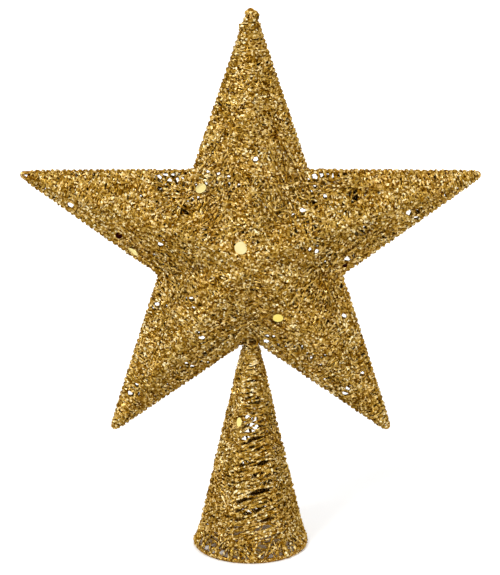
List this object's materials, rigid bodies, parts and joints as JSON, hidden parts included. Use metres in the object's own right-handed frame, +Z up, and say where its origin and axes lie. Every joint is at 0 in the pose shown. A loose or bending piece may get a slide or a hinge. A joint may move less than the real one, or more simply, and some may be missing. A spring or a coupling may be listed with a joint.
{
  "type": "christmas tree topper star",
  "caption": "Hollow five-armed star of gold glitter thread over a wire frame, standing on an open wound cone that slips over a tree's top shoot.",
  "frame": {"origin": "middle of the base ring's foot, on the surface that the cone stands on", "axes": "+Z up through the cone and the star, -Y towards the viewer of the star's front, +X to the viewer's right"},
  "size_m": [0.2268, 0.0582, 0.2775],
  "materials": {
    "gilt_wire": "steel wire, gold lacquer under glitter lapping",
    "glitter_thread": "stiff thread crusted with gold metallic glitter",
    "sequin": "pale gold metallised film"
  },
  "bodies": {
    "root": {"outline_wire": "gilt_wire", "front_apex_weld": "gilt_wire", "back_apex_weld": "gilt_wire", "base_ring": "gilt_wire", "neck_ring": "gilt_wire", "front_ridge_top": "gilt_wire", "front_ridge_right": "gilt_wire", "front_ridge_lower_right": "gilt_wire", "front_ridge_lower_left": "gilt_wire", "front_ridge_left": "gilt_wire", "back_ridge_top": "gilt_wire", "back_ridge_right": "gilt_wire", "back_ridge_lower_right": "gilt_wire", "back_ridge_lower_left": "gilt_wire", "back_ridge_left": "gilt_wire", "cone_leg_1": "gilt_wire", "cone_leg_2": "gilt_wire", "cone_leg_3": "gilt_wire", "cone_leg_4": "gilt_wire", "cone_leg_5": "gilt_wire", "cone_leg_6": "gilt_wire", "front_net_top": "glitter_thread", "front_net_right": "glitter_thread", "front_net_lower_right": "glitter_thread", "front_net_lower_left": "glitter_thread", "front_net_left": "glitter_thread", "back_net_top": "glitter_thread", "back_net_right": "glitter_thread", "back_net_lower_right": "glitter_thread", "back_net_lower_left": "glitter_thread", "back_net_left": "glitter_thread", "cone_net_1": "glitter_thread", "cone_net_2": "glitter_thread", "cone_net_3": "glitter_thread", "cone_net_4": "glitter_thread", "cone_net_5": "glitter_thread", "cone_net_6": "glitter_thread", "cone_winding": "glitter_thread", "neck_binding": "glitter_thread", "top_knob": "glitter_thread", "tip_wrap_right": "glitter_thread", "tip_wrap_lower_right": "glitter_thread", "tip_wrap_lower_left": "glitter_thread", "tip_wrap_left": "glitter_thread", "front_sequins": "sequin", "back_sequins": "sequin", "cone_sequin": "sequin"}
  },
  "joints": []
}
